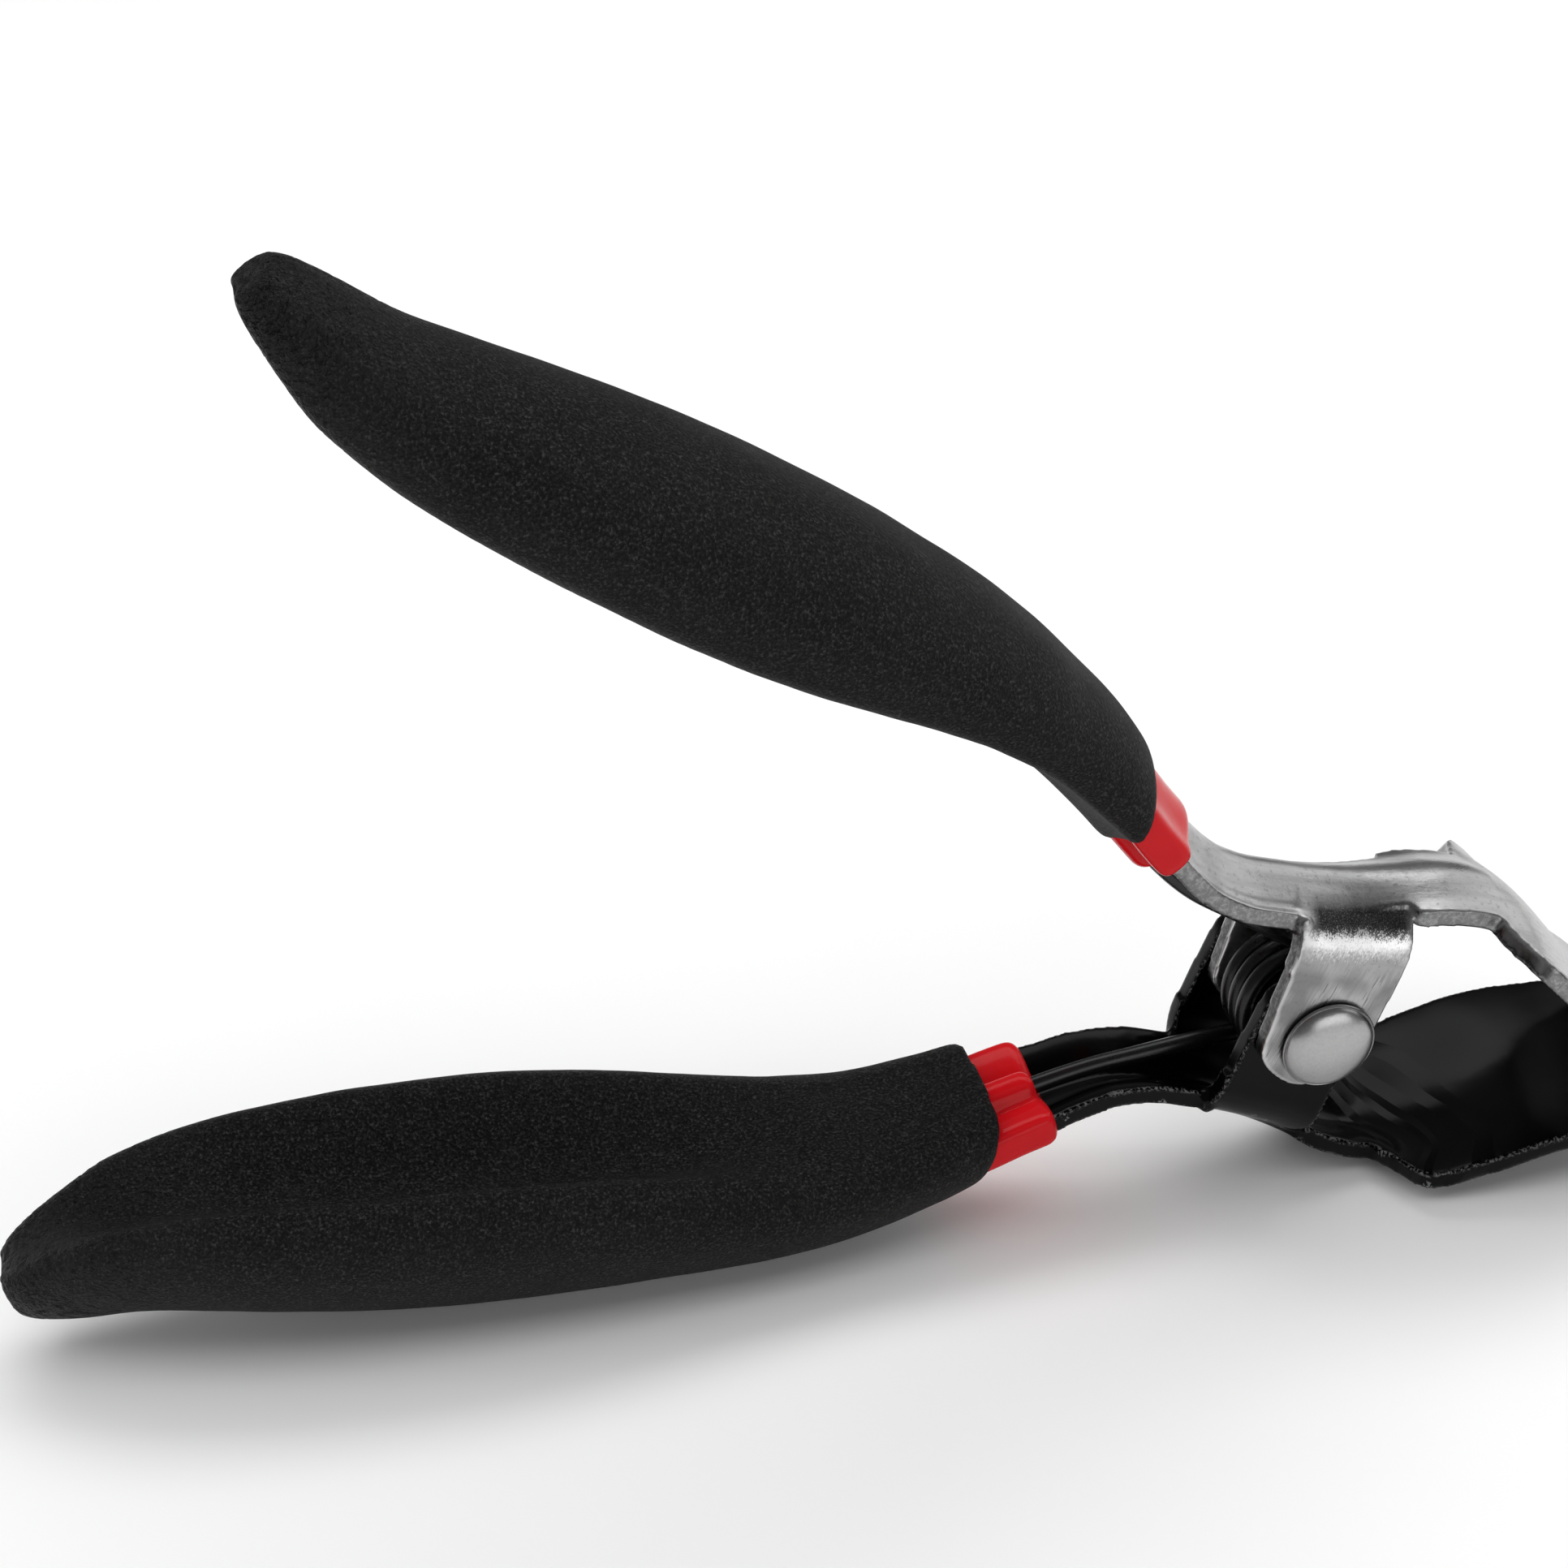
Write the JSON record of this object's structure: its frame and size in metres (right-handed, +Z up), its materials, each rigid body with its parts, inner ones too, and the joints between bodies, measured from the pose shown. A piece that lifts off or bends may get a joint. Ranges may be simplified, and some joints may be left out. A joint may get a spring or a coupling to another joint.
{
  "type": "spring clamp",
  "caption": "Squeeze-to-open spring clamp: stamped steel levers riveted at a pivot, coil torsion spring, flared jaws, dipped handle skins under dished cushion grips.",
  "frame": {"origin": "centre of the bounding box in X and Y, at the lowest point of the part, which is where the black lever's jaw flare and its grip rest on a bench", "axes": "+X from the handles toward the jaw lips, +Y along the pivot axis away from the domed rivet head, +Z up with the plated lever on top"},
  "size_m": [0.2096, 0.0342, 0.1313],
  "materials": {
    "plated_steel": "satin plated sheet with drawn scratches",
    "black_paint": "gloss black",
    "rivet_steel": "satin turned steel",
    "spring_wire": "semi-gloss black wire",
    "dipped_skin": "glossy red plastisol",
    "cushion": "matte fine-grained black"
  },
  "bodies": {
    "lower_arm": {"lower_lever": "black_paint", "lower_handle_dip": "dipped_skin", "lower_cushion_grip": "cushion", "pivot_rivet": "rivet_steel", "pivot_sleeve": "rivet_steel", "torsion_spring": "spring_wire"},
    "upper_arm": {"upper_lever": "plated_steel", "upper_handle_dip": "dipped_skin", "upper_cushion_grip": "cushion"}
  },
  "joints": [
    {"name": "jaw_pivot", "type": "hinge", "parent": "lower_arm", "child": "upper_arm", "pos_m": [0.05149, -0.00135, 0.02543], "axis": [0, -1, 0], "range_deg": [0, 40], "stiffness_Nm_per_rad": 1.5, "springref_deg": -37.24, "deforming": ["torsion_spring"]}
  ]
}
